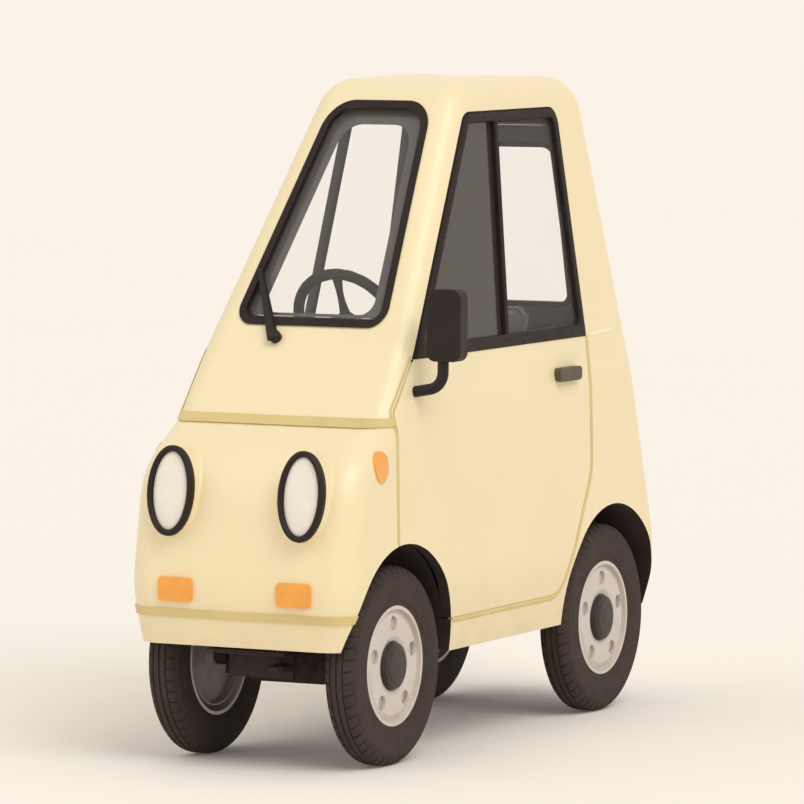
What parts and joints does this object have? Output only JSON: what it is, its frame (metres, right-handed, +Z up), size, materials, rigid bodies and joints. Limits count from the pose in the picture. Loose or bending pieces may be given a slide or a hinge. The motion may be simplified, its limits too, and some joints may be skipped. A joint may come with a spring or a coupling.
{
  "type": "single-seat microcar",
  "caption": "Tall narrow cabin microcar on four wheels, with two front-hinged doors, a tailgate, steered front wheels and a single seat.",
  "frame": {"origin": "on the ground under the middle of the whole part's outline", "axes": "-Y forward, +X the car's left, +Z up"},
  "size_m": [0.815, 1.966, 1.8011],
  "materials": {
    "cream_paint": "gloss",
    "khaki_trim": "satin",
    "black_rubber": "satin",
    "black_plastic": "satin",
    "dark_underbody": "matte",
    "glass": "clear",
    "lamp_lens": "frosted",
    "amber_lens": "gloss",
    "red_lens": "gloss",
    "seat_cloth": "woven",
    "interior_plastic": "grained",
    "steel": "satin",
    "cast_engine": "rough",
    "tyre": "matte",
    "wheel_paint": "satin"
  },
  "bodies": {
    "body": {"amber_lamps": "amber_lens", "dashboard": "interior_plastic", "engine_block": "cast_engine", "floor_pan": "dark_underbody", "front_axle": "steel", "headlamp_bezels": "black_plastic", "headlamp_lenses": "lamp_lens", "nose_panel": "cream_paint", "nose_strips": "khaki_trim", "rear_axle": "steel", "rear_panel": "cream_paint", "roof_shell": "cream_paint", "seat_back": "seat_cloth", "seat_base": "interior_plastic", "seat_cushion": "seat_cloth", "side_panel_left": "cream_paint", "side_panel_right": "cream_paint", "steering_column": "interior_plastic", "tail_lamps": "red_lens", "wheel_tubs": "dark_underbody", "windscreen_glass": "glass", "windscreen_seal": "black_rubber", "wiper": "black_plastic"},
    "knuckle_left": {"knuckle_left": "steel"},
    "knuckle_right": {"knuckle_right": "steel"},
    "door_left": {"door_panel_left": "cream_paint", "window_frame_left": "black_rubber", "door_glass_left": "glass", "door_handle_left": "black_plastic", "door_mirror": "black_plastic"},
    "door_right": {"door_panel_right": "cream_paint", "window_frame_right": "black_rubber", "door_glass_right": "glass", "door_handle_right": "black_plastic"},
    "tailgate": {"tailgate_panel": "cream_paint", "rear_window_seal": "black_rubber", "rear_window_glass": "glass"},
    "steering_wheel": {"steering_wheel": "black_plastic"},
    "wheel_front_left": {"tyre_front_left": "tyre", "wheel_front_left": "wheel_paint"},
    "wheel_front_right": {"tyre_front_right": "tyre", "wheel_front_right": "wheel_paint"},
    "wheel_rear_left": {"tyre_rear_left": "tyre", "wheel_rear_left": "wheel_paint"},
    "wheel_rear_right": {"tyre_rear_right": "tyre", "wheel_rear_right": "wheel_paint"}
  },
  "joints": [
    {"name": "steer_left", "type": "hinge", "parent": "body", "child": "knuckle_left", "pos_m": [0.1245, -0.63126, 0.265], "axis": [0, 0, 1], "range_deg": [-20, 20]},
    {"name": "spin_front_left", "type": "hinge", "parent": "knuckle_left", "child": "wheel_front_left", "pos_m": [0.2045, -0.63126, 0.265], "axis": [1, 0, 0], "continuous": true},
    {"name": "spin_rear_left", "type": "hinge", "parent": "body", "child": "wheel_rear_left", "pos_m": [0.2045, 0.64874, 0.265], "axis": [1, 0, 0], "continuous": true},
    {"name": "door_left_hinge", "type": "hinge", "parent": "body", "child": "door_left", "pos_m": [0.2795, -0.66926, 0.7], "axis": [0, 0, -1], "range_deg": [0, 65]},
    {"name": "steer_right", "type": "hinge", "parent": "body", "child": "knuckle_right", "pos_m": [-0.2455, -0.63126, 0.265], "axis": [0, 0, 1], "range_deg": [-20, 20]},
    {"name": "spin_front_right", "type": "hinge", "parent": "knuckle_right", "child": "wheel_front_right", "pos_m": [-0.3255, -0.63126, 0.265], "axis": [1, 0, 0], "continuous": true},
    {"name": "spin_rear_right", "type": "hinge", "parent": "body", "child": "wheel_rear_right", "pos_m": [-0.3255, 0.64874, 0.265], "axis": [1, 0, 0], "continuous": true},
    {"name": "door_right_hinge", "type": "hinge", "parent": "body", "child": "door_right", "pos_m": [-0.4005, -0.66926, 0.7], "axis": [0, 0, 1], "range_deg": [0, 65]},
    {"name": "tailgate_hinge", "type": "hinge", "parent": "body", "child": "tailgate", "pos_m": [-0.0605, 0.71674, 1.653], "axis": [1, 0, 0], "range_deg": [0, 70]},
    {"name": "steering_wheel_turn", "type": "hinge", "parent": "body", "child": "steering_wheel", "pos_m": [-0.0605, -0.32626, 1.15], "axis": [0, 0.9063, 0.4226], "range_deg": [-160, 160]}
  ],
  "couplings": [
    {"joint": "steer_right", "follows": "steer_left", "ratio": 1},
    {"joint": "steering_wheel_turn", "follows": "steer_left", "ratio": 8}
  ]
}
